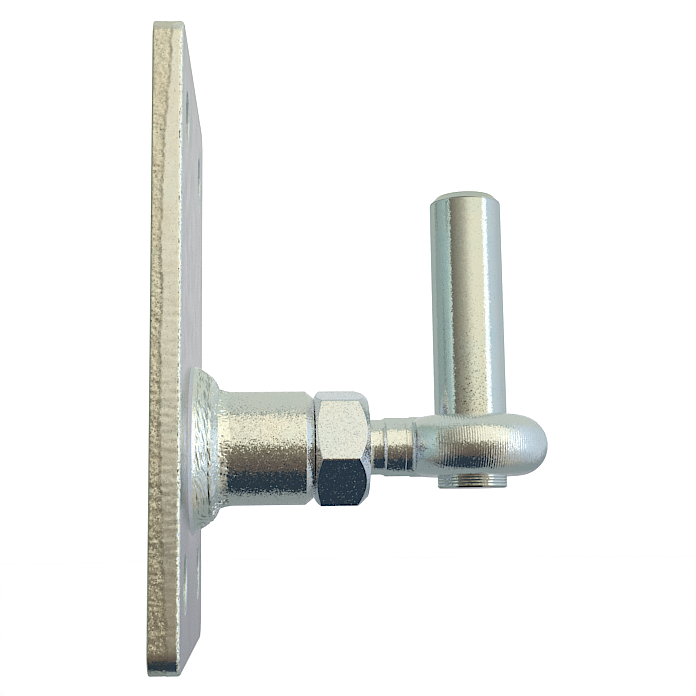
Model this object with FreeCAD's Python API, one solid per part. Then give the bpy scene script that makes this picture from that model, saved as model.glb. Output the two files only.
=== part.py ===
import FreeCAD, Part
import math
import os

# Adjustable gate hinge: a plate with a welded threaded boss, a screw-in eye bolt with its lock nut,
# and the upright pin that carries the gate. Millimetres, +X out of the plate along the bolt, +Z up.
# The origin is the centre of the four screw holes, on the back face of the plate.

# Mounting plate, blanked from flat bar
plate_width = 78.0
plate_height = 126.5
plate_thickness = 6.0
plate_corner_radius = 5.0
plate_front_edge_chamfer = 0.5
plate_back_edge_chamfer = 0.3
screw_hole_diameter = 11.5
screw_hole_end_margin = 16.25
screw_hole_side_margin = 16.0
screw_hole_rim_chamfer = 0.4
bolt_axis_drop = 19.5

# Screw thread, drawn as its outside cylinder, and the bores round it
thread_diameter = 16.0
thread_clearance = 0.05
bore_mouth_chamfer = 1.0
plate_bore_clearance = 0.5

# Threaded boss, turned from round bar
boss_diameter = 24.8
boss_length = 26.1
boss_chamfer_length = 1.7
boss_chamfer_depth = 1.4

# Fillet weld between the boss and the plate, convex at the plate and hollow at the boss
weld_reach_on_plate = 6.4
weld_reach_on_boss = 8.4
weld_crest_along_boss = 4.9
weld_crest_above_boss = 3.1
weld_bulge = 1.1
weld_hollow = 0.5

# Lock nut
nut_gap = 0.1
nut_sides = 6
nut_across_flats = 23.2
nut_height = 11.8
nut_corner_radius = 0.8
nut_face_diameter = 21.6
nut_inner_chamfer_angle = 30.0
nut_outer_chamfer_angle = 45.0
nut_turn_angle = -14.0

# Eye bolt: threaded, undercut and turned up to the shoulder of a forged eye
bolt_end_stand_out = 2.8
bolt_end_chamfer = 1.2
thread_stop_inside_nut = 1.2
undercut_diameter = 12.3
undercut_length = 2.8
shank_diameter = 12.9
shank_chamfer_length = 1.1
shank_length = 6.2
shoulder_corner_chamfer = 1.0
shoulder_to_pin_axis = 13.1
neck_diameter = 13.3
eye_diameter = 33.5
eye_height = 13.2

# Hinge pin: a plain pin with a stepped spigot pressed into the eye
pin_diameter = 16.0
pin_above_eye = 49.8
pin_top_chamfer = 1.6
spigot_diameter = 15.3
spigot_below_eye = 2.6
spigot_end_chamfer = 0.4

# Places worked out from the sizes above
bolt_z = -bolt_axis_drop
thread_radius = thread_diameter / 2
bore_radius = thread_radius + thread_clearance
boss_radius = boss_diameter / 2
boss_end_x = plate_thickness + boss_length
nut_inner_x = boss_end_x + nut_gap
nut_outer_x = nut_inner_x + nut_height
undercut_end_x = nut_outer_x + undercut_length
shank_start_x = undercut_end_x + shank_chamfer_length
shoulder_x = shank_start_x + shank_length
pin_x = shoulder_x + shoulder_to_pin_axis
eye_top_z = bolt_z + eye_height / 2
eye_bottom_z = bolt_z - eye_height / 2

ALONG_BOLT = FreeCAD.Vector(1, 0, 0)
ALONG_PIN = FreeCAD.Vector(0, 0, 1)
BOLT_FOOT = FreeCAD.Vector(0, 0, bolt_z)
PIN_FOOT = FreeCAD.Vector(pin_x, 0, 0)


def from_bolt(x, radius):
    """Point at a distance above the bolt axis, in the upright plane through the bolt and the pin."""
    return FreeCAD.Vector(x, 0, bolt_z + radius)


def from_pin(radius, z):
    """Point at a distance outside the pin axis, in the same plane."""
    return FreeCAD.Vector(pin_x + radius, 0, z)


def polygon_face(points):
    """Flat face inside straight lines through the points."""
    return Part.Face(Part.makePolygon(points + points[:1]))


def turned_on_bolt(face):
    """Solid that a face sweeps out round the bolt axis."""
    return face.revolve(BOLT_FOOT, ALONG_BOLT, 360)


def turned_on_pin(face):
    """Solid that a face sweeps out round the pin axis."""
    return face.revolve(PIN_FOOT, ALONG_PIN, 360)


def bored_through(start_x, end_x):
    """Cutter for a bore along the bolt, with a chamfer at both mouths."""
    mouth_radius = bore_radius + bore_mouth_chamfer
    return turned_on_bolt(polygon_face([
        from_bolt(start_x, 0),
        from_bolt(start_x, mouth_radius),
        from_bolt(start_x + bore_mouth_chamfer, bore_radius),
        from_bolt(end_x - bore_mouth_chamfer, bore_radius),
        from_bolt(end_x, mouth_radius),
        from_bolt(end_x, 0),
    ]))


def edges_at_x(shape, x):
    """Edges that lie wholly in the plane at x."""
    tolerance = 1e-4
    return [e for e in shape.Edges if max(abs(e.BoundBox.XMin - x), abs(e.BoundBox.XMax - x)) < tolerance]


def mounting_plate():
    """Flat plate with rounded corners, softened edges, four screw holes and the bolt's clearance hole."""
    half_width = plate_width / 2
    half_height = plate_height / 2
    corner = FreeCAD.Vector(0, -half_width, -half_height)
    plate = Part.makeBox(plate_thickness, plate_width, plate_height, corner)
    corners = [e for e in plate.Edges if e.BoundBox.XLength > plate_thickness / 2]
    plate = plate.makeFillet(plate_corner_radius, corners)
    plate = plate.makeChamfer(plate_front_edge_chamfer, edges_at_x(plate, plate_thickness))
    plate = plate.makeChamfer(plate_back_edge_chamfer, edges_at_x(plate, 0))

    hole_y = half_width - screw_hole_side_margin
    hole_z = half_height - screw_hole_end_margin
    for y in (-hole_y, hole_y):
        for z in (-hole_z, hole_z):
            foot = FreeCAD.Vector(0, y, z)
            plate = plate.cut(Part.makeCylinder(screw_hole_diameter / 2, plate_thickness, foot, ALONG_BOLT))
    rims = [e for e in edges_at_x(plate, plate_thickness) if e.isClosed()]
    plate = plate.makeChamfer(screw_hole_rim_chamfer, rims)

    bolt_hole_radius = thread_radius + plate_bore_clearance
    return plate.cut(Part.makeCylinder(bolt_hole_radius, plate_thickness, BOLT_FOOT, ALONG_BOLT))


def threaded_boss():
    """Round boss, chamfered at its free end and bored for the thread."""
    boss = turned_on_bolt(polygon_face([
        from_bolt(plate_thickness, 0),
        from_bolt(plate_thickness, boss_radius),
        from_bolt(boss_end_x - boss_chamfer_length, boss_radius),
        from_bolt(boss_end_x, boss_radius - boss_chamfer_depth),
        from_bolt(boss_end_x, 0),
    ]))
    return boss.cut(bored_through(plate_thickness, boss_end_x))


def off_chord(start, end, rise):
    """Point that stands off the middle of a chord of a profile by rise, on its outer side."""
    chord = end - start
    outward = FreeCAD.Vector(-chord.z, 0, chord.x).normalize()
    return (start + end) * 0.5 + outward * rise


def weld_bead():
    """Ring of weld metal in the corner between the plate and the boss."""
    root = from_bolt(plate_thickness, boss_radius)
    plate_toe = from_bolt(plate_thickness, boss_radius + weld_reach_on_plate)
    crest = from_bolt(plate_thickness + weld_crest_along_boss, boss_radius + weld_crest_above_boss)
    boss_toe = from_bolt(plate_thickness + weld_reach_on_boss, boss_radius)
    bulge = off_chord(plate_toe, crest, weld_bulge)
    hollow = off_chord(crest, boss_toe, -weld_hollow)
    return turned_on_bolt(polygon_face([root, plate_toe, bulge, crest, hollow, boss_toe]))


def lock_nut():
    """Hexagon nut, its corners cut back by a cone at both faces."""
    corner_radius = nut_across_flats / 2 / math.cos(math.pi / nut_sides)
    points = []
    for corner in range(nut_sides):
        angle = math.radians(nut_turn_angle) + 2 * math.pi * corner / nut_sides
        across = FreeCAD.Vector(0, -corner_radius * math.cos(angle), corner_radius * math.sin(angle))
        points.append(BOLT_FOOT + ALONG_BOLT * nut_inner_x + across)
    hexagon = polygon_face(points).extrude(ALONG_BOLT * nut_height)
    ridges = [e for e in hexagon.Edges if e.BoundBox.XLength > nut_height / 2]
    hexagon = hexagon.makeFillet(nut_corner_radius, ridges)

    face_radius = nut_face_diameter / 2
    cut_depth = corner_radius - face_radius
    inner_run = cut_depth * math.tan(math.radians(nut_inner_chamfer_angle))
    outer_run = cut_depth * math.tan(math.radians(nut_outer_chamfer_angle))
    envelope = turned_on_bolt(polygon_face([
        from_bolt(nut_inner_x, 0),
        from_bolt(nut_inner_x, face_radius),
        from_bolt(nut_inner_x + inner_run, corner_radius),
        from_bolt(nut_outer_x - outer_run, corner_radius),
        from_bolt(nut_outer_x, face_radius),
        from_bolt(nut_outer_x, 0),
    ]))
    return hexagon.common(envelope).cut(bored_through(nut_inner_x, nut_outer_x))


def turned_shaft():
    """Thread, undercut and shank in one turned length, from the bolt's end to the middle of the eye."""
    end_x = -bolt_end_stand_out
    thread_stop_x = nut_outer_x - thread_stop_inside_nut
    undercut_radius = undercut_diameter / 2
    undercut_start_x = thread_stop_x + thread_radius - undercut_radius
    shank_radius = shank_diameter / 2
    return turned_on_bolt(polygon_face([
        from_bolt(end_x, 0),
        from_bolt(end_x, thread_radius - bolt_end_chamfer),
        from_bolt(end_x + bolt_end_chamfer, thread_radius),
        from_bolt(thread_stop_x, thread_radius),
        from_bolt(undercut_start_x, undercut_radius),
        from_bolt(undercut_end_x, undercut_radius),
        from_bolt(shank_start_x, shank_radius),
        from_bolt(pin_x, shank_radius),
        from_bolt(pin_x, 0),
    ]))


def forged_eye():
    """Thick disc with a full round edge, on a round neck."""
    half_height = eye_height / 2
    flat_radius = eye_diameter / 2 - half_height
    edge = Part.Arc(
        from_pin(flat_radius, eye_bottom_z),
        from_pin(eye_diameter / 2, bolt_z),
        from_pin(flat_radius, eye_top_z),
    ).toShape()
    outline = [
        Part.makeLine(from_pin(0, eye_top_z), from_pin(0, eye_bottom_z)),
        Part.makeLine(from_pin(0, eye_bottom_z), from_pin(flat_radius, eye_bottom_z)),
        edge,
        Part.makeLine(from_pin(flat_radius, eye_top_z), from_pin(0, eye_top_z)),
    ]
    disc = turned_on_pin(Part.Face(Part.Wire(outline)))
    neck = Part.makeCylinder(neck_diameter / 2, pin_x - shank_start_x, from_bolt(shank_start_x, 0), ALONG_BOLT)
    return disc.fuse(neck)


def shoulder_cutter():
    """What turning the shank takes off the forged eye, with a slope left in the corner at the shoulder."""
    shank_radius = shank_diameter / 2
    start_x = pin_x - eye_diameter
    outer_radius = eye_diameter
    return turned_on_bolt(polygon_face([
        from_bolt(start_x, shank_radius),
        from_bolt(shoulder_x - shoulder_corner_chamfer, shank_radius),
        from_bolt(shoulder_x, shank_radius + shoulder_corner_chamfer),
        from_bolt(shoulder_x, outer_radius),
        from_bolt(start_x, outer_radius),
    ]))


def eye_bolt():
    """One piece: the turned shaft runs into the forged eye, which is bored for the pin's spigot."""
    eye = forged_eye().cut(shoulder_cutter())
    bolt = eye.fuse(turned_shaft())
    bore_foot = FreeCAD.Vector(pin_x, 0, eye_bottom_z)
    return bolt.cut(Part.makeCylinder(spigot_diameter / 2, eye_height, bore_foot, ALONG_PIN)).removeSplitter()


def hinge_pin():
    """Plain pin that seats on the eye, with its spigot through the eye."""
    pin_radius = pin_diameter / 2
    spigot_radius = spigot_diameter / 2
    top_z = eye_top_z + pin_above_eye
    foot_z = eye_bottom_z - spigot_below_eye
    return turned_on_pin(polygon_face([
        from_pin(0, foot_z),
        from_pin(spigot_radius - spigot_end_chamfer, foot_z),
        from_pin(spigot_radius, foot_z + spigot_end_chamfer),
        from_pin(spigot_radius, eye_top_z),
        from_pin(pin_radius, eye_top_z),
        from_pin(pin_radius, top_z - pin_top_chamfer),
        from_pin(pin_radius - pin_top_chamfer, top_z),
        from_pin(0, top_z),
    ]))


os.makedirs("parts", exist_ok=True)
pieces = {
    "mounting_plate": mounting_plate,
    "threaded_boss": threaded_boss,
    "weld_bead": weld_bead,
    "lock_nut": lock_nut,
    "eye_bolt": eye_bolt,
    "hinge_pin": hinge_pin,
}
for name, make in pieces.items():
    shape = make()
    print(name, shape.isValid(), len(shape.Solids), round(shape.Volume, 1))
    shape.exportStep("parts/" + name + ".step")
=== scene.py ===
import math

import bmesh
import bpy
import numpy as np
from mathutils import Matrix, Vector, noise


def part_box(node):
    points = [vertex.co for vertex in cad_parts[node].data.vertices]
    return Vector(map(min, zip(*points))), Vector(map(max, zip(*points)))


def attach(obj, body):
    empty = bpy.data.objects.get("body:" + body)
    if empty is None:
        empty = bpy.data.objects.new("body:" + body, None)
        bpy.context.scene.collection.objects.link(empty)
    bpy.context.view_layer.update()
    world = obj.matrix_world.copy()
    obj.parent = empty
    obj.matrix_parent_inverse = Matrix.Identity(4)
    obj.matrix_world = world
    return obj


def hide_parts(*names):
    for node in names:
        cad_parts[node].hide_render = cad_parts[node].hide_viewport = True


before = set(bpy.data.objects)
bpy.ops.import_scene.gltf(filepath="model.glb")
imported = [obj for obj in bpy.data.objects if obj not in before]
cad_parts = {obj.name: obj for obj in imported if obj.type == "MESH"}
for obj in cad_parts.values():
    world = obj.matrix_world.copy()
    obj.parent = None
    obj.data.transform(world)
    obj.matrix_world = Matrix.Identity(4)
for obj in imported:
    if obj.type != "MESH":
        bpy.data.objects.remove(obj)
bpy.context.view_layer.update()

# Adjustable gate hinge in bright zinc plate. Sizes are in millimetres unless a name says otherwise.
METRES_PER_MM = 0.001


def box_mm(node):
    """Lowest and highest corners of a solid, in millimetres."""
    low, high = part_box(node)
    return np.array(low) / METRES_PER_MM, np.array(high) / METRES_PER_MM


# Places and main sizes, read from the frame
plate_low, plate_high = box_mm("mounting_plate")
boss_low, boss_high = box_mm("threaded_boss")
_, weld_high = box_mm("weld_bead")
nut_low, nut_high = box_mm("lock_nut")
bolt_low, bolt_high = box_mm("eye_bolt")
pin_low, pin_high = box_mm("hinge_pin")

plate_thickness = plate_high[0]
plate_half_width = plate_high[1]
plate_half_height = plate_high[2]
bolt_z = (boss_low[2] + boss_high[2]) / 2
boss_radius = boss_high[1]
boss_end_x = boss_high[0]
weld_radius = weld_high[1]
weld_end_x = weld_high[0]
nut_inner_x = nut_low[0]
nut_outer_x = nut_high[0]
bolt_end_x = bolt_low[0]
eye_radius = bolt_high[1]
pin_x = bolt_high[0] - eye_radius
pin_radius = pin_high[1]
pin_top_z = pin_high[2]
pin_foot_z = pin_low[2]

# Plate details
plate_corner_radius = 5.0
plate_front_edge_radius = 0.7
plate_back_edge_radius = 0.35
screw_hole_radius = 5.75
screw_hole_rim_radius = 0.45
screw_hole_y = 23.0
screw_hole_z = 47.0
screw_hole_back_rim = 0.2
plate_bore_rim_radius = 0.1
fracture_share = 0.35
fracture_upper_growth = 0.3
fracture_lower_growth = 0.22
fracture_growth_start_z = 20.0
fracture_growth_run = 35.0
fracture_wander = 0.3
fracture_fade = 0.25
fracture_depth = 0.16
plate_wall_step = 0.27
plate_back_edge_steps = 4
plate_front_edge_steps = 6
plate_hole_segments = 96
plate_hole_rim_steps = 5
FACE, WALL, HOLE, TORN, RIM, BACK = range(6)

# Boss, nut and bore details
bore_radius = 8.05
bore_mouth = 1.0
plate_bore_radius = 8.5
boss_chamfer_length = 1.7
boss_chamfer_depth = 1.4
boss_edge_rounding = 0.25
turned_segments = 192
nut_sides = 6
nut_across_flats = 23.2
nut_corner_radius = 0.8
nut_face_radius = 10.8
nut_inner_slope = math.radians(30)
nut_outer_slope = math.radians(45)
nut_turn = math.radians(-14)
nut_steps_per_side = 80
nut_step_crowding = 1.5
nut_edge_rounding = 0.22
nut_face_rounding = 0.15
nut_mouth_rounding = 0.08

# Weld section: reach along the boss and height over it
weld_crest_along = 4.5
weld_crest_above = 3.0
weld_heel_along = 5.85
weld_heel_above = 0.62
weld_bulge = 0.16
weld_toe_along = 0.7
weld_toe_inset = 0.9
weld_toe_steps = 6
weld_hollow = 0.16
weld_foot_run = 0.6
weld_tuck = 0.05
weld_segments = 660
weld_bead_steps = 44
weld_crest_steps = 18
weld_hollow_steps = 12
weld_section_length = 11.0

# Eye bolt details
thread_radius = 8.0
thread_pitch = 2.0
thread_depth = 1.22
thread_steps_per_turn = 14
thread_fade_length = 1.5
bolt_end_chamfer = 1.2
thread_stop_inside_nut = 1.2
undercut_radius = 6.02
undercut_length = 2.8
runout_start_inside_nut = 0.2
runout_length = 1.6
runout_height = 0.5
runout_steps = 8
hollow_steps = 6
shank_radius = 6.45
shank_chamfer_length = 1.1
shank_length = 6.2
shank_line_before_shoulder = 2.0
shank_line_half_width = 0.1
shank_line_depth = 0.06
shank_reach_into_eye = 3.0
shaft_segments = 96
shoulder_corner_radius = 1.2
shoulder_corner_steps = 8
shoulder_overcut = 0.03
neck_radius = 6.6
neck_overlap = 0.02
neck_gap_to_bore = 1.2
neck_segments = 144
eye_half_height = 6.6
eye_edge_steps = 44
eye_edge_support = 0.3
eye_segments = 288
undercut_end_x = nut_outer_x + undercut_length
shank_start_x = undercut_end_x + shank_chamfer_length
shoulder_x = shank_start_x + shank_length
eye_top_z = bolt_z + eye_half_height
eye_bottom_z = bolt_z - eye_half_height

# Pin details
spigot_radius = 7.65
pin_top_chamfer = 1.6
pin_top_line_width = 0.3
pin_top_line_depth = 0.14
pin_top_step = 0.04
spigot_end_chamfer = 0.4
spigot_grooves = 3
spigot_groove_pitch = 0.62
spigot_groove_depth = 0.1
spigot_groove_half_width = 0.16
spigot_first_groove = 0.6


def new_object(name, vertices_mm, faces):
    """Mesh object in the scene, from points in millimetres, with smooth faces."""
    mesh = bpy.data.meshes.new(name)
    mesh.from_pydata([tuple(c * METRES_PER_MM for c in v) for v in vertices_mm], [], faces)
    mesh.update()
    mesh.shade_smooth()
    thing = bpy.data.objects.new(name, mesh)
    bpy.context.scene.collection.objects.link(thing)
    return thing


def around_bolt(along, radius, angle):
    """Point at a distance from the bolt axis."""
    return along, -radius * math.cos(angle), bolt_z + radius * math.sin(angle)


def around_pin(along, radius, angle):
    """Point at a distance from the pin axis."""
    return pin_x + radius * math.sin(angle), -radius * math.cos(angle), along


def arc(centre, start, end, steps):
    """Points from start to end on the shorter arc round a centre."""
    first = math.atan2(start[1] - centre[1], start[0] - centre[0])
    last = math.atan2(end[1] - centre[1], end[0] - centre[0])
    sweep = (last - first + math.pi) % (2 * math.pi) - math.pi
    radius = math.hypot(start[0] - centre[0], start[1] - centre[1])
    angles = [first + sweep * k / steps for k in range(steps + 1)]
    return [(centre[0] + radius * math.cos(a), centre[1] + radius * math.sin(a)) for a in angles]


def rounded(corners, steps=5):
    """Profile through corners (along, radius, rounding), each an arc between two support points."""
    points = []
    last = len(corners) - 1
    for i, (along, radius, rounding) in enumerate(corners):
        here = Vector((along, radius))
        if rounding == 0 or i in (0, last):
            points.append(tuple(here))
            continue
        back = Vector(corners[i - 1][:2]) - here
        on = Vector(corners[i + 1][:2]) - here
        half = back.angle(on) / 2
        reach = rounding / math.tan(half)
        back_unit = back.normalized()
        on_unit = on.normalized()
        centre = here + (back_unit + on_unit).normalized() * rounding / math.sin(half)
        start = here + back_unit * reach
        end = here + on_unit * reach
        support = 0.5 * rounding
        if back.length > 2 * (reach + support):
            points.append(tuple(here + back_unit * (reach + support)))
        points += arc(centre, start, end, steps)
        if on.length > 2 * (reach + support):
            points.append(tuple(here + on_unit * (reach + support)))
    return points


def turned(name, profile, place, segments, closed):
    """Solid of revolution; a closed profile goes round a bore, an open one starts and ends on the axis."""
    vertices = []
    rings = []
    for along, radius in profile:
        if radius < 1e-6:
            rings.append([len(vertices)] * segments)
            vertices.append(place(along, 0.0, 0.0))
            continue
        rings.append(list(range(len(vertices), len(vertices) + segments)))
        for k in range(segments):
            vertices.append(place(along, radius, 2 * math.pi * k / segments))
    pairs = list(zip(rings, rings[1:]))
    if closed:
        pairs.append((rings[-1], rings[0]))
    faces = []
    for first, second in pairs:
        for k in range(segments):
            n = (k + 1) % segments
            corners = [first[k], first[n], second[n], second[k]]
            face = [c for j, c in enumerate(corners) if c not in corners[:j]]
            if len(face) > 2:
                faces.append(face)
    return new_object(name, vertices, faces)


def outward(thing):
    """Turns every face outward."""
    work = bmesh.new()
    work.from_mesh(thing.data)
    bmesh.ops.recalc_face_normals(work, faces=work.faces)
    work.to_mesh(thing.data)
    work.free()
    return thing


def combine(thing, tool, operation):
    """Joins a tool to a mesh, or cuts it away, and deletes the tool."""
    modifier = thing.modifiers.new("combine", "BOOLEAN")
    modifier.operation = operation
    modifier.solver = "EXACT"
    modifier.object = tool
    graph = bpy.context.evaluated_depsgraph_get()
    result = bpy.data.meshes.new_from_object(thing.evaluated_get(graph))
    thing.modifiers.clear()
    thing.data = result
    bpy.data.objects.remove(tool)


def ring_faces(segments, columns):
    """Faces of a tube whose closed section of so many columns is repeated round an axis."""
    faces = []
    for k in range(segments):
        n = (k + 1) % segments
        for j in range(columns):
            m = (j + 1) % columns
            faces.append((k * columns + j, n * columns + j, n * columns + m, k * columns + m))
    return faces


def unit(value):
    """Value limited to the range from 0 to 1."""
    return min(max(value, 0.0), 1.0)


def soft_noise(point, size):
    """Smooth noise between -1 and 1, with features of about the given size."""
    return noise.noise(Vector(point) / size)


# Mounting plate
def plate_outline():
    """Points and outward directions round the plate, about a step apart."""
    half_y = plate_half_width - plate_corner_radius
    half_z = plate_half_height - plate_corner_radius
    rows = []
    corners = [(half_y, half_z, 0), (-half_y, half_z, 90), (-half_y, -half_z, 180), (half_y, -half_z, 270)]
    for i, (y, z, start) in enumerate(corners):
        arc_steps = round(plate_corner_radius * math.pi / 2 / plate_wall_step)
        for k in range(arc_steps + 1):
            angle = math.radians(start + 90 * k / arc_steps)
            out = Vector((0, math.cos(angle), math.sin(angle)))
            rows.append((Vector((0, y, z)) + out * plate_corner_radius, out))
        next_y, next_z, _ = corners[(i + 1) % 4]
        run = Vector((0, next_y - y, next_z - z))
        steps = round(run.length / plate_wall_step)
        for k in range(1, steps):
            rows.append((rows[-k][0] + run * (k / steps), out))
    return rows


def plate_wall_profile():
    """Rows across the thickness, as x and inset, with the softened back and front edges."""
    rows = []
    for k in range(plate_back_edge_steps):
        turn = math.pi / 2 * k / plate_back_edge_steps
        rows.append((plate_back_edge_radius * (1 - math.cos(turn)),
                     plate_back_edge_radius * (1 - math.sin(turn))))
    start = plate_back_edge_radius
    end = plate_thickness - plate_front_edge_radius
    steps = round((end - start) / plate_wall_step)
    rows += [(start + (end - start) * k / steps, 0.0) for k in range(steps)]
    for k in range(plate_front_edge_steps + 1):
        turn = math.pi / 2 * k / plate_front_edge_steps
        rows.append((end + plate_front_edge_radius * math.sin(turn),
                     plate_front_edge_radius * (1 - math.cos(turn))))
    return rows


def fracture_border(point):
    """Where the rough part of the sheared wall ends, across the thickness: it widens toward both ends."""
    upper = unit((point.z - fracture_growth_start_z) / fracture_growth_run)
    lower = unit((-fracture_growth_start_z - point.z) / fracture_growth_run)
    share = fracture_share + fracture_upper_growth * upper ** 2 + fracture_lower_growth * lower
    wander = soft_noise(point, 6.0) + soft_noise(point, 1.1)
    return plate_thickness * share + fracture_wander * wander


def blanked_inset(point, x):
    """How far the sheared wall lies inside its true outline: rough at the back, smooth at the front."""
    border = fracture_border(point)
    where = Vector((x, point.y, point.z))
    rough = unit((border - x) / fracture_fade)
    grain = 0.5 + 0.5 * soft_noise(where, 0.55) + 0.35 * soft_noise(where, 0.27)
    tear = max(0.0, soft_noise(where, 1.6))
    smooth = 0.02 * (1 + soft_noise(Vector((x * 0.3, point.y, point.z)), 0.9))
    return smooth + rough * fracture_depth * (0.15 + max(grain, 0.0) * 0.6 + tear * 0.5)


def make_plate():
    """Blanked plate: sheared walls, flat faces, four screw holes and the bolt's clearance hole."""
    outline = plate_outline()
    profile = plate_wall_profile()
    vertices = []
    for point, out in outline:
        for x, inset in profile:
            depth = inset + blanked_inset(point, x)
            place = point - out * depth
            vertices.append((x, place.y, place.z))
    columns = len(profile)
    count = len(outline)
    faces = []
    for i in range(count):
        n = (i + 1) % count
        for j in range(columns - 1):
            faces.append((i * columns + j, n * columns + j, n * columns + j + 1, i * columns + j + 1))
    walls = len(faces)
    back_loops = [[i * columns for i in range(count)]]
    front_loops = [[i * columns + columns - 1 for i in range(count)]]

    segments = plate_hole_segments
    holes = [(y, z, screw_hole_radius, screw_hole_rim_radius)
             for y in (-screw_hole_y, screw_hole_y) for z in (-screw_hole_z, screw_hole_z)]
    holes.append((0.0, bolt_z, plate_bore_radius, plate_bore_rim_radius))
    for y, z, radius, rim in holes:
        section = [
            (0.0, radius + screw_hole_back_rim),
            (screw_hole_back_rim, radius),
            (plate_thickness / 2, radius),
        ]
        for k in range(plate_hole_rim_steps + 1):
            turn = math.pi / 2 * k / plate_hole_rim_steps
            section.append((plate_thickness - rim + rim * math.sin(turn),
                            radius + rim * (1 - math.cos(turn))))
        first = len(vertices)
        for x, r in section:
            for k in range(segments):
                angle = 2 * math.pi * k / segments
                vertices.append((x, y + r * math.cos(angle), z + r * math.sin(angle)))
        for j in range(len(section) - 1):
            for k in range(segments):
                n = (k + 1) % segments
                a = first + j * segments
                faces.append((a + k, a + n, a + segments + n, a + segments + k))
        back_loops.append(list(range(first, first + segments)))
        front = first + (len(section) - 1) * segments
        front_loops.append(list(range(front, front + segments)))
    thing = new_object("dressed_plate", vertices, faces)

    work = bmesh.new()
    work.from_mesh(thing.data)
    work.verts.ensure_lookup_table()
    work.faces.ensure_lookup_table()
    for face in work.faces:
        if face.index >= walls:
            face.material_index = HOLE
            continue
        point = outline[face.index // (columns - 1)][0]
        x = profile[face.index % (columns - 1)][0]
        if x >= plate_thickness - plate_front_edge_radius:
            face.material_index = RIM
            continue
        face.material_index = TORN if x < fracture_border(point) else WALL
    for loops, face_material in ((back_loops, BACK), (front_loops, FACE)):
        edges = []
        for loop in loops:
            for k, vertex in enumerate(loop):
                pair = (work.verts[vertex], work.verts[loop[(k + 1) % len(loop)]])
                edges.append(work.edges.get(pair))
        filled = bmesh.ops.triangle_fill(work, use_beauty=True, use_dissolve=False, edges=edges)
        for face in filled["geom"]:
            if isinstance(face, bmesh.types.BMFace):
                face.smooth = False
                face.material_index = face_material
    bmesh.ops.recalc_face_normals(work, faces=work.faces)
    work.to_mesh(thing.data)
    work.free()
    return thing


# Threaded boss
def make_boss():
    """Turned boss with a chamfer, bored for the thread."""
    profile = rounded([
        (plate_thickness, bore_radius, 0),
        (plate_thickness, boss_radius, 0),
        (boss_end_x - boss_chamfer_length, boss_radius, boss_edge_rounding),
        (boss_end_x, boss_radius - boss_chamfer_depth, boss_edge_rounding),
        (boss_end_x, bore_radius + bore_mouth, 0.1),
        (boss_end_x - bore_mouth, bore_radius, 0),
    ])
    return outward(turned("dressed_boss", profile, around_bolt, turned_segments, True))


# Weld bead
def arc_through(start, end, rise, steps):
    """Points from start to end on an arc that stands off their chord by rise."""
    a = Vector(start)
    b = Vector(end)
    chord = b - a
    normal = Vector((-chord.y, chord.x)).normalized()
    radius = (chord.length ** 2 / 4 + rise ** 2) / (2 * rise)
    centre = (a + b) / 2 + normal * (rise - radius)
    return arc(centre, a, b, steps)


def weld_relief(angle, share, where):
    """Height of the weld over its section, and the painted shade of its streaks: darker where the ripples
    dip and in the groove below the crest.

    The bead has leaning streaks and a groove below its crest, and the hollow beside the boss has pits.
    """
    along = angle * boss_radius
    across = share * weld_section_length
    bead = unit((share - 0.14) / 0.05) * unit((0.64 - share) / 0.05)
    lean = 0.75 + 0.35 * soft_noise((along / 9.0, 3.1, 0.0), 1.0)
    warp = 0.9 * soft_noise(where, 4.0) + 0.3 * soft_noise(where, 1.3)
    phase = across + lean * along * 0.55 + warp
    streak = soft_noise((phase, along * 0.16, 0.0), 0.30) + 0.5 * soft_noise((phase, along * 0.3, 7.0), 0.62)
    ripple = math.sin(2 * math.pi * phase / 1.3)
    crest = math.exp(-((share - 0.61) / 0.022) ** 2)
    groove = math.exp(-((share - 0.53 - 0.02 * soft_noise(where, 5.0)) / 0.014) ** 2)
    hollow = unit((share - 0.60) / 0.05) * unit((0.99 - share) / 0.04)
    spread = max(0.0, 0.35 + 0.9 * soft_noise((along / 6.0, 9.0, 0.0), 1.0))
    pit = max(0.0, soft_noise(where, 0.5) - 0.1) * spread
    lump = 0.10 * soft_noise(where, 0.8)
    wander = 0.10 * soft_noise(where, 3.2)
    inside_ends = unit((share - 0.06) / 0.05) * min((1 - share) / 0.04, 1.0)
    ripples = bead * (0.06 * streak + 0.025 * ripple)
    relief = ripples + 0.1 * crest - 0.12 * groove + hollow * (0.6 * lump - pit) + wander
    # The second value is painted shade: it falls where the ripples dip and in the groove below the crest.
    return inside_ends * relief, bead * (streak - 0.4 * groove)


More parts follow.
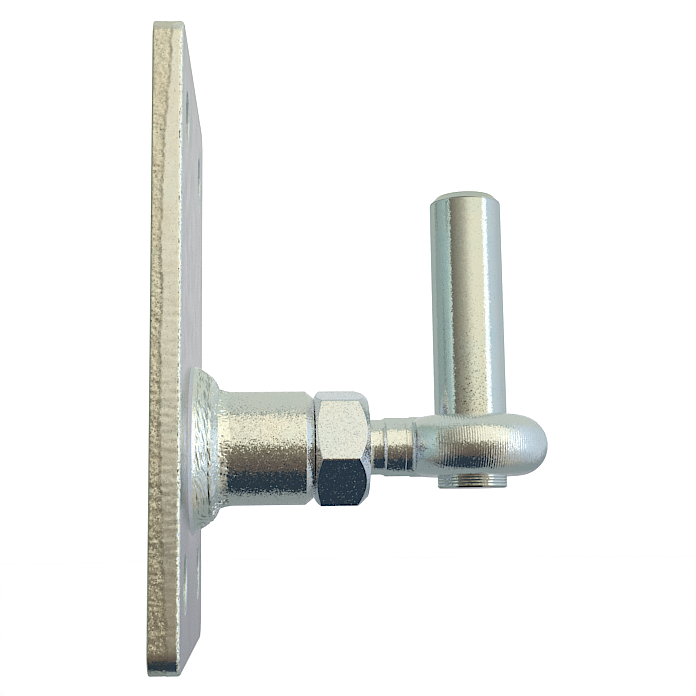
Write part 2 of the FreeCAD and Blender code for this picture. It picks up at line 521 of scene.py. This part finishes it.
def make_weld():
    """Ring of weld metal with ripples, convex at the plate and hollow at the boss."""
    crest = (plate_thickness + weld_crest_along, boss_radius + weld_crest_above)
    heel = (plate_thickness + weld_heel_along, boss_radius + weld_heel_above)
    foot = (weld_end_x + weld_foot_run, boss_radius - weld_tuck)
    skirt = (plate_thickness + weld_toe_along, weld_radius - weld_toe_inset)
    profile = [(plate_thickness + weld_toe_along * k / weld_toe_steps,
                weld_radius - weld_toe_inset * k / weld_toe_steps) for k in range(weld_toe_steps)]
    profile += arc_through(skirt, crest, weld_bulge, weld_bead_steps)
    profile += arc_through(crest, heel, weld_bulge, weld_crest_steps)[1:]
    profile += arc_through(heel, foot, -weld_hollow, weld_hollow_steps)[1:]
    count = len(profile)
    vertices = []
    painted_trough_shade = []
    for k in range(weld_segments):
        angle = 2 * math.pi * k / weld_segments
        for j, (x, r) in enumerate(profile):
            before = Vector(profile[max(j - 1, 0)])
            after = Vector(profile[min(j + 1, count - 1)])
            run = (after - before).normalized()
            lift, streak = weld_relief(angle, j / (count - 1), around_bolt(x, r, angle))
            painted_trough_shade.append(streak)
            vertices.append(around_bolt(max(x - run.y * lift, plate_thickness), r + run.x * lift, angle))
        vertices.append(around_bolt(plate_thickness, boss_radius - weld_tuck, angle))
        painted_trough_shade.append(0.0)
    columns = count + 1
    thing = outward(new_object("dressed_weld", vertices, ring_faces(weld_segments, columns)))
    for face in thing.data.polygons:
        face.material_index = 1 if face.index % columns < weld_toe_steps else 0
    # Stores the painted shade of the ripple troughs and the groove on the points, for the material to
    # darken.
    thing.data.attributes.new("streak", "FLOAT", "POINT").data.foreach_set("value", painted_trough_shade)
    return thing


# Lock nut
def nut_outline_radius(angle):
    """Radius of the hexagon with rounded corners, in a direction about the bolt."""
    sector = 2 * math.pi / nut_sides
    off = (angle - nut_turn + sector / 2) % sector - sector / 2
    flat = nut_across_flats / 2
    from_flat = sector / 2 - abs(off)
    sharp = flat / math.cos(from_flat)
    corner = flat / math.cos(sector / 2)
    centre = corner - nut_corner_radius / math.cos(sector / 2)
    tangent = math.atan2(nut_corner_radius * math.sin(sector / 2),
                         centre + nut_corner_radius * math.cos(sector / 2))
    if abs(off) >= tangent:
        return sharp
    return centre * math.cos(off) + math.sqrt(nut_corner_radius ** 2 - (centre * math.sin(off)) ** 2)


def make_nut():
    """Hexagon nut: flats meet a cone at each face in curved edges."""
    sector = 2 * math.pi / nut_sides
    steps = nut_steps_per_side
    segments = nut_sides * steps
    vertices = []
    for k in range(segments):
        from_corner = 2 * (k % steps) / steps - 1
        off = sector / 2 * from_corner * abs(from_corner) ** nut_step_crowding
        angle = nut_turn + sector * (k // steps) + off
        outline = nut_outline_radius(angle)
        drop = outline - nut_face_radius
        inner_edge = nut_inner_x + drop * math.tan(nut_inner_slope)
        outer_edge = nut_outer_x - drop * math.tan(nut_outer_slope)
        edge_rounding = min(nut_edge_rounding, 0.4 * drop)
        profile = rounded([
            (nut_inner_x + bore_mouth, bore_radius, 0),
            (nut_inner_x, bore_radius + bore_mouth, nut_mouth_rounding),
            (nut_inner_x, nut_face_radius, nut_face_rounding),
            (inner_edge, outline, edge_rounding),
            (outer_edge, outline, edge_rounding),
            (nut_outer_x, nut_face_radius, nut_face_rounding),
            (nut_outer_x, bore_radius + bore_mouth, nut_mouth_rounding),
            (nut_outer_x - bore_mouth, bore_radius, 0),
        ], 4)
        columns = len(profile)
        for x, r in profile:
            vertices.append(around_bolt(x, r, angle))
    return outward(new_object("dressed_nut", vertices, ring_faces(segments, columns)))


# Eye bolt
def thread_profile(turns):
    """Depth of the thread's groove, from 0 at the crest to 1 at the root, at a place counted in turns."""
    place = turns % 1.0
    crest_half = 1 / 16
    root_half = 1 / 8
    from_crest = min(place, 1 - place)
    return unit((from_crest - crest_half) / (0.5 - root_half - crest_half))


def make_shaft():
    """Threaded end, undercut, shank and a stub that reaches into the eye."""
    segments = shaft_segments
    thread_stop_x = nut_outer_x - thread_stop_inside_nut
    steps = round((thread_stop_x - bolt_end_x) / (thread_pitch / thread_steps_per_turn))
    stations = [(bolt_end_x, 0.0, 0.0)]
    for k in range(steps + 1):
        x = bolt_end_x + (thread_stop_x - bolt_end_x) * k / steps
        envelope = min(thread_radius, thread_radius - bolt_end_chamfer + (x - bolt_end_x))
        fade = unit((thread_stop_x - x) / thread_fade_length)
        stations.append((x, envelope, thread_depth * fade))
    runout = []
    for k in range(runout_steps + 1):
        share = k / runout_steps
        x = nut_outer_x - runout_start_inside_nut + runout_length * share
        runout.append((x, undercut_radius + runout_height * (1 - share) ** 2, 0))
    hollow = []
    for k in range(hollow_steps):
        share = k / hollow_steps
        x = undercut_end_x + shank_chamfer_length * share
        hollow.append((x, undercut_radius + (shank_radius - undercut_radius) * share ** 2, 0))
    line_x = shoulder_x - shank_line_before_shoulder
    stub_end_x = shoulder_x + shank_reach_into_eye
    plain = rounded([(thread_stop_x, thread_radius, 0)] + runout + hollow + [
        (shank_start_x, shank_radius, 0.1),
        (line_x - 2 * shank_line_half_width, shank_radius, 0),
        (line_x - shank_line_half_width, shank_radius, 0),
        (line_x, shank_radius - shank_line_depth, 0),
        (line_x + shank_line_half_width, shank_radius, 0),
        (line_x + 2 * shank_line_half_width, shank_radius, 0),
        (shoulder_x, shank_radius, 0),
        (stub_end_x, shank_radius, 0),
    ])
    stations += [(x, r, 0.0) for x, r in plain[1:]]
    stations.append((stub_end_x, 0.0, 0.0))
    vertices = []
    rings = []
    for x, envelope, depth in stations:
        if envelope == 0.0:
            rings.append([len(vertices)] * segments)
            vertices.append(around_bolt(x, 0.0, 0.0))
            continue
        rings.append(list(range(len(vertices), len(vertices) + segments)))
        for k in range(segments):
            angle = 2 * math.pi * k / segments
            groove = depth * thread_profile(x / thread_pitch + k / segments)
            radius = min(envelope, thread_radius - groove) if depth else envelope
            vertices.append(around_bolt(x, radius, angle))
    faces = []
    for first, second in zip(rings, rings[1:]):
        for k in range(segments):
            n = (k + 1) % segments
            corners = [first[k], first[n], second[n], second[k]]
            faces.append([c for j, c in enumerate(corners) if c not in corners[:j]])
    return outward(new_object("shaft", vertices, faces))


def make_eye_bolt():
    """Forged eye with a full round edge, turned at the shoulder and joined to the shaft."""
    flat_radius = eye_radius - eye_half_height
    support_radius = flat_radius - eye_edge_support
    ring = [(eye_bottom_z, spigot_radius), (eye_bottom_z, support_radius)]
    for k in range(eye_edge_steps + 1):
        turn = math.pi * k / eye_edge_steps - math.pi / 2
        ring.append((bolt_z + eye_half_height * math.sin(turn),
                     flat_radius + eye_half_height * math.cos(turn)))
    ring += [(eye_top_z, support_radius), (eye_top_z, spigot_radius)]
    eye = outward(turned("dressed_eye_bolt", ring, around_pin, eye_segments, True))

    neck_end_x = pin_x - spigot_radius - neck_gap_to_bore
    neck_start_x = shoulder_x - shoulder_corner_radius + neck_overlap
    neck = outward(turned("neck", [
        (neck_start_x, 0.0), (neck_start_x, neck_radius), (neck_end_x, neck_radius), (neck_end_x, 0.0),
    ], around_bolt, neck_segments, False))
    combine(eye, neck, "UNION")

    outer = 2 * eye_radius
    start_x = pin_x - outer
    tool_radius = shank_radius - shoulder_overcut
    corner = [(shoulder_x - shoulder_corner_radius * (1 - math.sin(turn)),
               tool_radius + shoulder_corner_radius * (1 - math.cos(turn)))
              for turn in np.linspace(0, math.pi / 2, shoulder_corner_steps + 1)]
    section = [(start_x, tool_radius)] + corner + [(shoulder_x, outer), (start_x, outer)]
    cutter = outward(turned("cutter", section, around_bolt, turned_segments, True))
    combine(eye, cutter, "DIFFERENCE")
    combine(eye, make_shaft(), "UNION")
    return eye


# Hinge pin
def make_pin():
    """Plain pin with a chamfered top and a spigot that shows turning grooves below the eye."""
    corners = [
        (pin_foot_z, 0.0, 0),
        (pin_foot_z, spigot_radius - spigot_end_chamfer, 0.12),
        (pin_foot_z + spigot_end_chamfer, spigot_radius, 0.12),
    ]
    for k in reversed(range(spigot_grooves)):
        groove_z = eye_bottom_z - spigot_groove_pitch * (k + spigot_first_groove)
        corners += [
            (groove_z - spigot_groove_half_width, spigot_radius, 0.05),
            (groove_z, spigot_radius - spigot_groove_depth, 0.05),
            (groove_z + spigot_groove_half_width, spigot_radius, 0.05),
        ]
    chamfer_z = pin_top_z - pin_top_chamfer
    corners += [
        (eye_top_z, spigot_radius, 0),
        (eye_top_z, pin_radius, 0.06),
        (chamfer_z - pin_top_line_width, pin_radius, 0.1),
        (chamfer_z - pin_top_line_width / 2, pin_radius - pin_top_line_depth, 0.04),
        (chamfer_z, pin_radius - pin_top_step, 0.12),
        (pin_top_z, pin_radius - pin_top_chamfer, 0.3),
        (pin_top_z, 0.0, 0),
    ]
    return outward(turned("dressed_pin", rounded(corners, 4), around_pin, turned_segments, False))


# Materials
class Shader:
    """Adds nodes to one tree: a socket given as an input is linked, any other value is set."""

    def __init__(self, tree):
        self.tree = tree
        tree.nodes.clear()

    def add(self, kind, inputs=None, **settings):
        node = self.tree.nodes.new("ShaderNode" + kind)
        for name, value in settings.items():
            setattr(node, name, value)
        for name, value in (inputs or {}).items():
            socket = node.inputs[name]
            if isinstance(value, bpy.types.NodeSocket):
                self.tree.links.new(value, socket)
            else:
                socket.default_value = value
        return node

    def ramp(self, factor, stops):
        """Colour or grey ramp through (place, colour) stops."""
        node = self.add("ValToRGB", {"Fac": factor})
        elements = node.color_ramp.elements
        while len(elements) < len(stops):
            elements.new(1.0)
        for element, (place, colour) in zip(elements, stops):
            element.position = place
            element.color = (*colour, 1.0) if len(colour) == 3 else colour
        return node.outputs["Color"]

    def math(self, operation, a, b=0.0):
        return self.add("Math", {0: a, 1: b}, operation=operation).outputs[0]

    def vector(self, operation, a, b=(0.0, 0.0, 0.0), c=(0.0, 0.0, 0.0)):
        return self.add("VectorMath", {0: a, 1: b, 2: c}, operation=operation).outputs[0]

    def mix(self, factor, a, b):
        """Colour a where factor is 0, colour b where it is 1."""
        return self.add("Mix", {0: factor, 6: a, 7: b}, data_type="RGBA").outputs[2]

    def multiply(self, a, b):
        """Product of two colours."""
        return self.add("Mix", {0: 1.0, 6: a, 7: b}, data_type="RGBA", blend_type="MULTIPLY").outputs[2]

    def noise(self, vector, scale, detail=2.0, roughness=0.5):
        inputs = {"Vector": vector, "Scale": scale, "Detail": detail, "Roughness": roughness}
        return self.add("TexNoise", inputs).outputs[0]


def linear(red, green, blue):
    """Linear colour of a screen colour given in 0 to 255, for parts above 10."""
    return tuple(((c / 255 + 0.055) / 1.055) ** 2.4 for c in (red, green, blue))


def grey(value):
    return value, value, value


def zinc(name, grain_mm, tilt, roughness, lines_mm=0.0, lines_height_mm=0.0,
         tone=(1.0, 1.0, 1.0), edge_tint=(1.0, 1.0, 1.0), painted_shade_attribute=None):
    """Bright zinc plate: a fine grain that breaks up reflections, with faint clouds of colour.

    tilt is how far the grain's facets lean, lines are fine turning marks across the eye, edge_tint is the
    colour at a glancing view, and the last argument names the point attribute that darkens the base colour
    as painted shade in the weld's ripple troughs and in the groove below its crest.
    """
    cloud_mm = 7.0
    patch_mm = 3.0
    material = bpy.data.materials.new(name)
    material.use_nodes = True
    s = Shader(material.node_tree)
    place = s.add("TexCoord").outputs["Object"]
    per_metre = 1 / METRES_PER_MM
    waves = s.noise(place, per_metre / (3 * grain_mm), 1.0, 0.5)
    cells = s.add("TexVoronoi", {"Vector": place, "Scale": per_metre / grain_mm}).outputs["Color"]
    centred = s.vector("MULTIPLY_ADD", cells, (2.0, 2.0, 2.0), (-1.0, -1.0, -1.0))
    seldom = s.vector("MULTIPLY", centred, s.vector("MULTIPLY", centred, centred))
    surface = s.add("NewGeometry").outputs["Normal"]
    facet = s.vector("NORMALIZE", s.vector("MULTIPLY_ADD", seldom, (tilt, tilt, tilt), surface))
    clouds = s.noise(place, per_metre / cloud_mm, 3.0, 0.6)
    patch_noise = s.noise(place, per_metre / patch_mm, 2.0, 0.5)
    patches = s.ramp(patch_noise, [(0.35, grey(0.35)), (0.65, grey(1.0))])
    tints = [(0.30, (0.80, 0.85, 0.855)), (0.50, (0.85, 0.86, 0.85)), (0.70, (0.87, 0.86, 0.83))]
    tint = s.ramp(clouds, [(stop, tuple(a * b for a, b in zip(colour, tone))) for stop, colour in tints])
    fleck_noise = s.noise(place, per_metre / (0.8 * grain_mm), 0.0, 0.5)
    fleck = s.ramp(fleck_noise, [(0.20, grey(0.72)), (0.30, grey(1.0))])
    colour = s.multiply(tint, fleck)
    # Painted shade: the attribute darkens the base colour in the weld's ripple troughs and in the groove
    # below its crest.
    if painted_shade_attribute:
        streak = s.add("Attribute", attribute_name=painted_shade_attribute).outputs["Fac"]
        depth = s.add("MapRange", {"Value": streak, "From Min": -1.0, "From Max": 1.0}).outputs[0]
        painted_groove_shade = s.ramp(depth, [(0.28, (0.55, 0.58, 0.55)), (0.47, grey(1.0))])
        colour = s.multiply(colour, painted_groove_shade)
    rough = s.ramp(clouds, [(0.3, grey(roughness * 0.8)), (0.7, grey(roughness * 1.25))])
    bump = s.add("Bump", {
        "Strength": patches, "Distance": 0.05 * grain_mm * METRES_PER_MM, "Height": waves, "Normal": facet,
    })
    normal = bump.outputs["Normal"]
    if lines_mm:
        parts = s.add("SeparateXYZ", {"Vector": place})
        wave = s.math("SINE", s.math("MULTIPLY", parts.outputs["X"], 2 * math.pi * per_metre / lines_mm))
        on_eye = s.add("MapRange", {
            "Value": parts.outputs["X"],
            "From Min": (shoulder_x + 3.0) * METRES_PER_MM, "From Max": (shoulder_x + 5.0) * METRES_PER_MM,
        })
        lines = s.add("Bump", {
            "Strength": on_eye.outputs[0], "Distance": lines_height_mm * METRES_PER_MM,
            "Height": wave, "Normal": normal,
        })
        normal = lines.outputs["Normal"]
    shader = s.add("BsdfPrincipled", {
        "Base Color": colour, "Metallic": 1.0, "Roughness": rough, "Normal": normal,
        "Specular Tint": (*edge_tint, 1.0),
    })
    out = s.add("OutputMaterial")
    s.tree.links.new(shader.outputs[0], out.inputs["Surface"])
    return material


# Surroundings: plain soft light whose colours the plating mirrors
CREAM = linear(236, 233, 208)
PALE_SKY = linear(184, 191, 180)
BROWN = linear(90, 82, 74)
TAN = linear(136, 130, 108)
NAVY = linear(40, 54, 64)
PALE_GREY = linear(212, 214, 215)
SIDE_GREY = linear(182, 193, 197)
DUSK_GREY = linear(174, 175, 181)
MIST = linear(132, 143, 141)
SEA_GREEN = linear(146, 171, 163)
SHADE_GREEN = linear(132, 150, 141)
STONE = (*linear(190, 186, 168), 1.0)
WHITE = (1.1, 1.15, 1.16)
PALE_BLUE = linear(196, 215, 222)
HAZE = linear(194, 206, 213)
GREEN_CAST = (0.57, 0.66, 0.63, 1.0)
BLUE_CAST = (0.66, 0.76, 0.79, 1.0)
PLATING_REFLECTANCE = 0.85


def make_world():
    """Soft surroundings: cream over brown and navy in front, green left, white right, grey behind.

    A wide band in front goes up and over the hinge, and the sides go round it. Angles are in degrees.
    """
    world = bpy.data.worlds.new("studio")
    bpy.context.scene.world = world
    world.use_nodes = True
    s = Shader(world.node_tree)
    way = s.add("TexCoord").outputs["Generated"]
    parts = s.add("SeparateXYZ", {"Vector": way})
    x, y, z = (parts.outputs[k] for k in "XYZ")
    front = s.math("MULTIPLY", y, -1.0)

    def share(angle):
        return s.add("MapRange", {"Value": angle, "From Min": -math.pi, "From Max": math.pi}).outputs[0]

    def at(degrees):
        return (degrees + 180) / 360

    over = share(s.math("ARCTAN2", z, front))
    about = share(s.math("ARCTAN2", x, front))
    aside = share(s.math("ARCSINE", x))
    height = s.add("MapRange", {"Value": z, "From Min": -1.0, "From Max": 1.0}).outputs[0]

    ahead = s.ramp(over, [
        (at(-180), DUSK_GREY),
        (at(-150), MIST),
        (at(-106), MIST),
        (at(-104), NAVY),
        (at(-52), NAVY),
        (at(-50), BROWN),
        (at(-30), BROWN),
        (at(0), TAN),
        (at(6), CREAM),
        (at(66), CREAM),
        (at(68), SHADE_GREEN),
        (at(72), SHADE_GREEN),
        (at(74), PALE_SKY),
        (at(152), PALE_SKY),
        (at(162), PALE_GREY),
        (at(180), PALE_GREY),
    ])
    dim = s.ramp(aside, [
        (at(-57), grey(0.20)),
        (at(-46), grey(0.25)),
        (at(-25), grey(0.43)),
        (at(-12), grey(0.60)),
        (at(0), grey(0.88)),
        (at(10), grey(1.0)),
    ])
    facing = s.ramp(over, [
        (at(-25), grey(0.0)),
        (at(-2), grey(1.0)),
        (at(60), grey(1.0)),
        (at(85), grey(0.0)),
    ])
    edges = s.ramp(aside, [
        (at(-12), GREEN_CAST),
        (at(-4), grey(1.0)),
        (at(18), grey(1.0)),
        (at(26), BLUE_CAST),
    ])
    behind = s.ramp(over, [
        (at(-165), grey(1.0)),
        (at(-145), grey(0.0)),
        (at(150), grey(0.0)),
        (at(162), grey(1.0)),
    ])
    cast = s.mix(behind, (1.0, 1.0, 1.0, 1.0), edges)
    fade = s.mix(facing, cast, dim)
    faded = s.multiply(ahead, fade)
    glow = s.ramp(aside, [
        (at(-45), grey(0.4)),
        (at(-25), grey(0.0)),
        (at(13), grey(0.0)),
        (at(25), grey(0.6)),
        (at(40), grey(0.8)),
    ])
    beneath = s.ramp(over, [
        (at(-108), grey(0.0)),
        (at(-100), grey(1.0)),
        (at(-8), grey(1.0)),
        (at(4), grey(0.0)),
    ])
    panel = s.mix(s.math("MULTIPLY", glow, beneath), faded, STONE)
    sides = s.ramp(about, [
        (at(-180), SIDE_GREY),
        (at(-140), SIDE_GREY),
        (at(-112), SHADE_GREEN),
        (at(-90), SEA_GREEN),
        (at(-70), SEA_GREEN),
        (at(-60), SHADE_GREEN),
        (at(46), WHITE),
        (at(60), WHITE),
        (at(66), PALE_BLUE),
        (at(74), PALE_BLUE),
        (at(92), HAZE),
        (at(115), SIDE_GREY),
        (at(180), SIDE_GREY),
    ])
    low = s.ramp(height, [(0.05, grey(0.5)), (0.25, grey(0.72)), (0.40, grey(1.0))])
    around = s.multiply(sides, low)
    inside = s.ramp(aside, [
        (at(-58), grey(0.0)),
        (at(-56), grey(1.0)),
        (at(44), grey(1.0)),
        (at(47), grey(0.0)),
    ])
    colour = s.mix(inside, around, panel)
    seen = s.add("LightPath").outputs["Is Camera Ray"]
    shown = s.mix(seen, colour, (1.0, 1.0, 1.0, 1.0))
    light = s.add("Background", {"Color": shown, "Strength": 1 / PLATING_REFLECTANCE})
    out = s.add("OutputWorld")
    s.tree.links.new(light.outputs[0], out.inputs["Surface"])


def make_floor():
    """Plain pale floor under the plate's foot; it is seen, but the plating doesn't mirror it."""
    radius_m = 0.6
    gap_mm = 0.2
    mesh = bpy.data.meshes.new("floor")
    work = bmesh.new()
    bmesh.ops.create_circle(work, cap_ends=True, radius=radius_m, segments=96)
    work.to_mesh(mesh)
    work.free()
    floor = bpy.data.objects.new("floor", mesh)
    bpy.context.scene.collection.objects.link(floor)
    floor.location = (0.0, 0.0, (plate_low[2] - gap_mm) * METRES_PER_MM)
    floor.visible_glossy = False
    floor.visible_diffuse = False
    material = bpy.data.materials.new("pale_floor")
    material.use_nodes = True
    s = Shader(material.node_tree)
    light = s.add("Emission", {"Color": (1.0, 1.0, 1.0, 1.0), "Strength": 1.0})
    out = s.add("OutputMaterial")
    s.tree.links.new(light.outputs[0], out.inputs["Surface"])
    floor.data.materials.append(material)


def make_camera():
    """Camera at the photograph's place: in front of the hinge, a little low, looking slightly up."""
    image_side_px = 696
    focal_px = 1192.7
    place_mm = (20.843, -261.798, -34.386)
    tilt, lean, pan = 0.1405, 0.0034, -0.0729
    data = bpy.data.cameras.new("camera")
    data.sensor_width = 36.0
    data.lens = focal_px / image_side_px * data.sensor_width
    data.clip_start = 0.01
    camera = bpy.data.objects.new("camera", data)
    bpy.context.scene.collection.objects.link(camera)
    turn = Matrix.Rotation(tilt, 4, "X") @ Matrix.Rotation(lean, 4, "Y") @ Matrix.Rotation(pan, 4, "Z")
    place = Matrix.Translation(Vector(place_mm) * METRES_PER_MM)
    camera.matrix_world = place @ turn @ Matrix.Rotation(math.pi / 2, 4, "X")
    bpy.context.scene.camera = camera


def sharpen():
    """Slight sharpening of the picture, as a product photograph has."""
    scene = bpy.context.scene
    scene.use_nodes = True
    tree = scene.node_tree
    tree.nodes.clear()
    layers = tree.nodes.new("CompositorNodeRLayers")
    crisp = tree.nodes.new("CompositorNodeFilter")
    crisp.filter_type = "SHARPEN"
    crisp.inputs["Fac"].default_value = 0.08
    out = tree.nodes.new("CompositorNodeComposite")
    tree.links.new(layers.outputs["Image"], crisp.inputs["Image"])
    tree.links.new(crisp.outputs["Image"], out.inputs["Image"])


def dress(thing, node, body, slot, *materials):
    """Gives a piece its materials, stands it for its solid and lets it ride on its body."""
    thing.data.set_sharp_from_angle(angle=math.radians(32))
    for material in materials:
        thing.data.materials.append(material)
    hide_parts(node)
    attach(thing, body)


make_world()
make_camera()
make_floor()
sharpen()
bpy.context.scene.view_settings.view_transform = "Standard"

plate = make_plate()
boss = make_boss()
weld = make_weld()
nut = make_nut()
eye_bolt = make_eye_bolt()
pin = make_pin()

dress(
    plate, "mounting_plate", "bracket", "plate_zinc",
    zinc("zinc_rolled_face", 0.4, 0.02, 0.28, tone=(0.72, 0.82, 0.76), edge_tint=(1.0, 0.88, 0.95)),
    zinc("zinc_sheared_wall", 0.3, 0.02, 0.24, tone=(1.14, 1.1, 1.11)),
    zinc("zinc_punched_wall", 0.3, 0.2, 0.5, tone=(1.02, 1.06, 1.08)),
    zinc("zinc_torn_wall", 0.22, 0.13, 0.28, tone=(1.04, 0.97, 0.89)),
    zinc("zinc_worn_rim", 0.35, 0.35, 0.3, tone=(1.14, 1.13, 1.12)),
    zinc("zinc_dull_back", 0.4, 0.12, 0.55, tone=(1.08, 1.1, 1.12)),
)
dress(
    boss, "threaded_boss", "bracket", "boss_zinc",
    zinc("zinc_turned_boss", 0.2, 0.2, 0.08, tone=(1.08, 1.06, 1.08)),
)
dress(
    weld, "weld_bead", "bracket", "weld_zinc",
    # The weld's base colour gets painted shade in its ripple troughs and groove from the streak attribute.
    zinc("zinc_weld", 0.25, 0.14, 0.2, tone=(1.14, 1.14, 1.14), painted_shade_attribute="streak"),
    zinc("zinc_weld_toe", 0.28, 0.1, 0.55, tone=(1.06, 1.0, 1.08)),
)
dress(
    nut, "lock_nut", "nut", "nut_zinc",
    zinc("zinc_nut", 0.19, 0.17, 0.07, tone=(0.99, 1.01, 1.13)),
)
dress(
    eye_bolt, "eye_bolt", "eye", "bolt_zinc",
    zinc("zinc_eye", 0.2, 0.15, 0.14, 0.53, 0.011, tone=(1.05, 1.06, 1.11)),
)
dress(
    pin, "hinge_pin", "eye", "pin_zinc",
    zinc("zinc_pin", 0.22, 0.06, 0.06, tone=(0.87, 0.88, 0.88)),
)
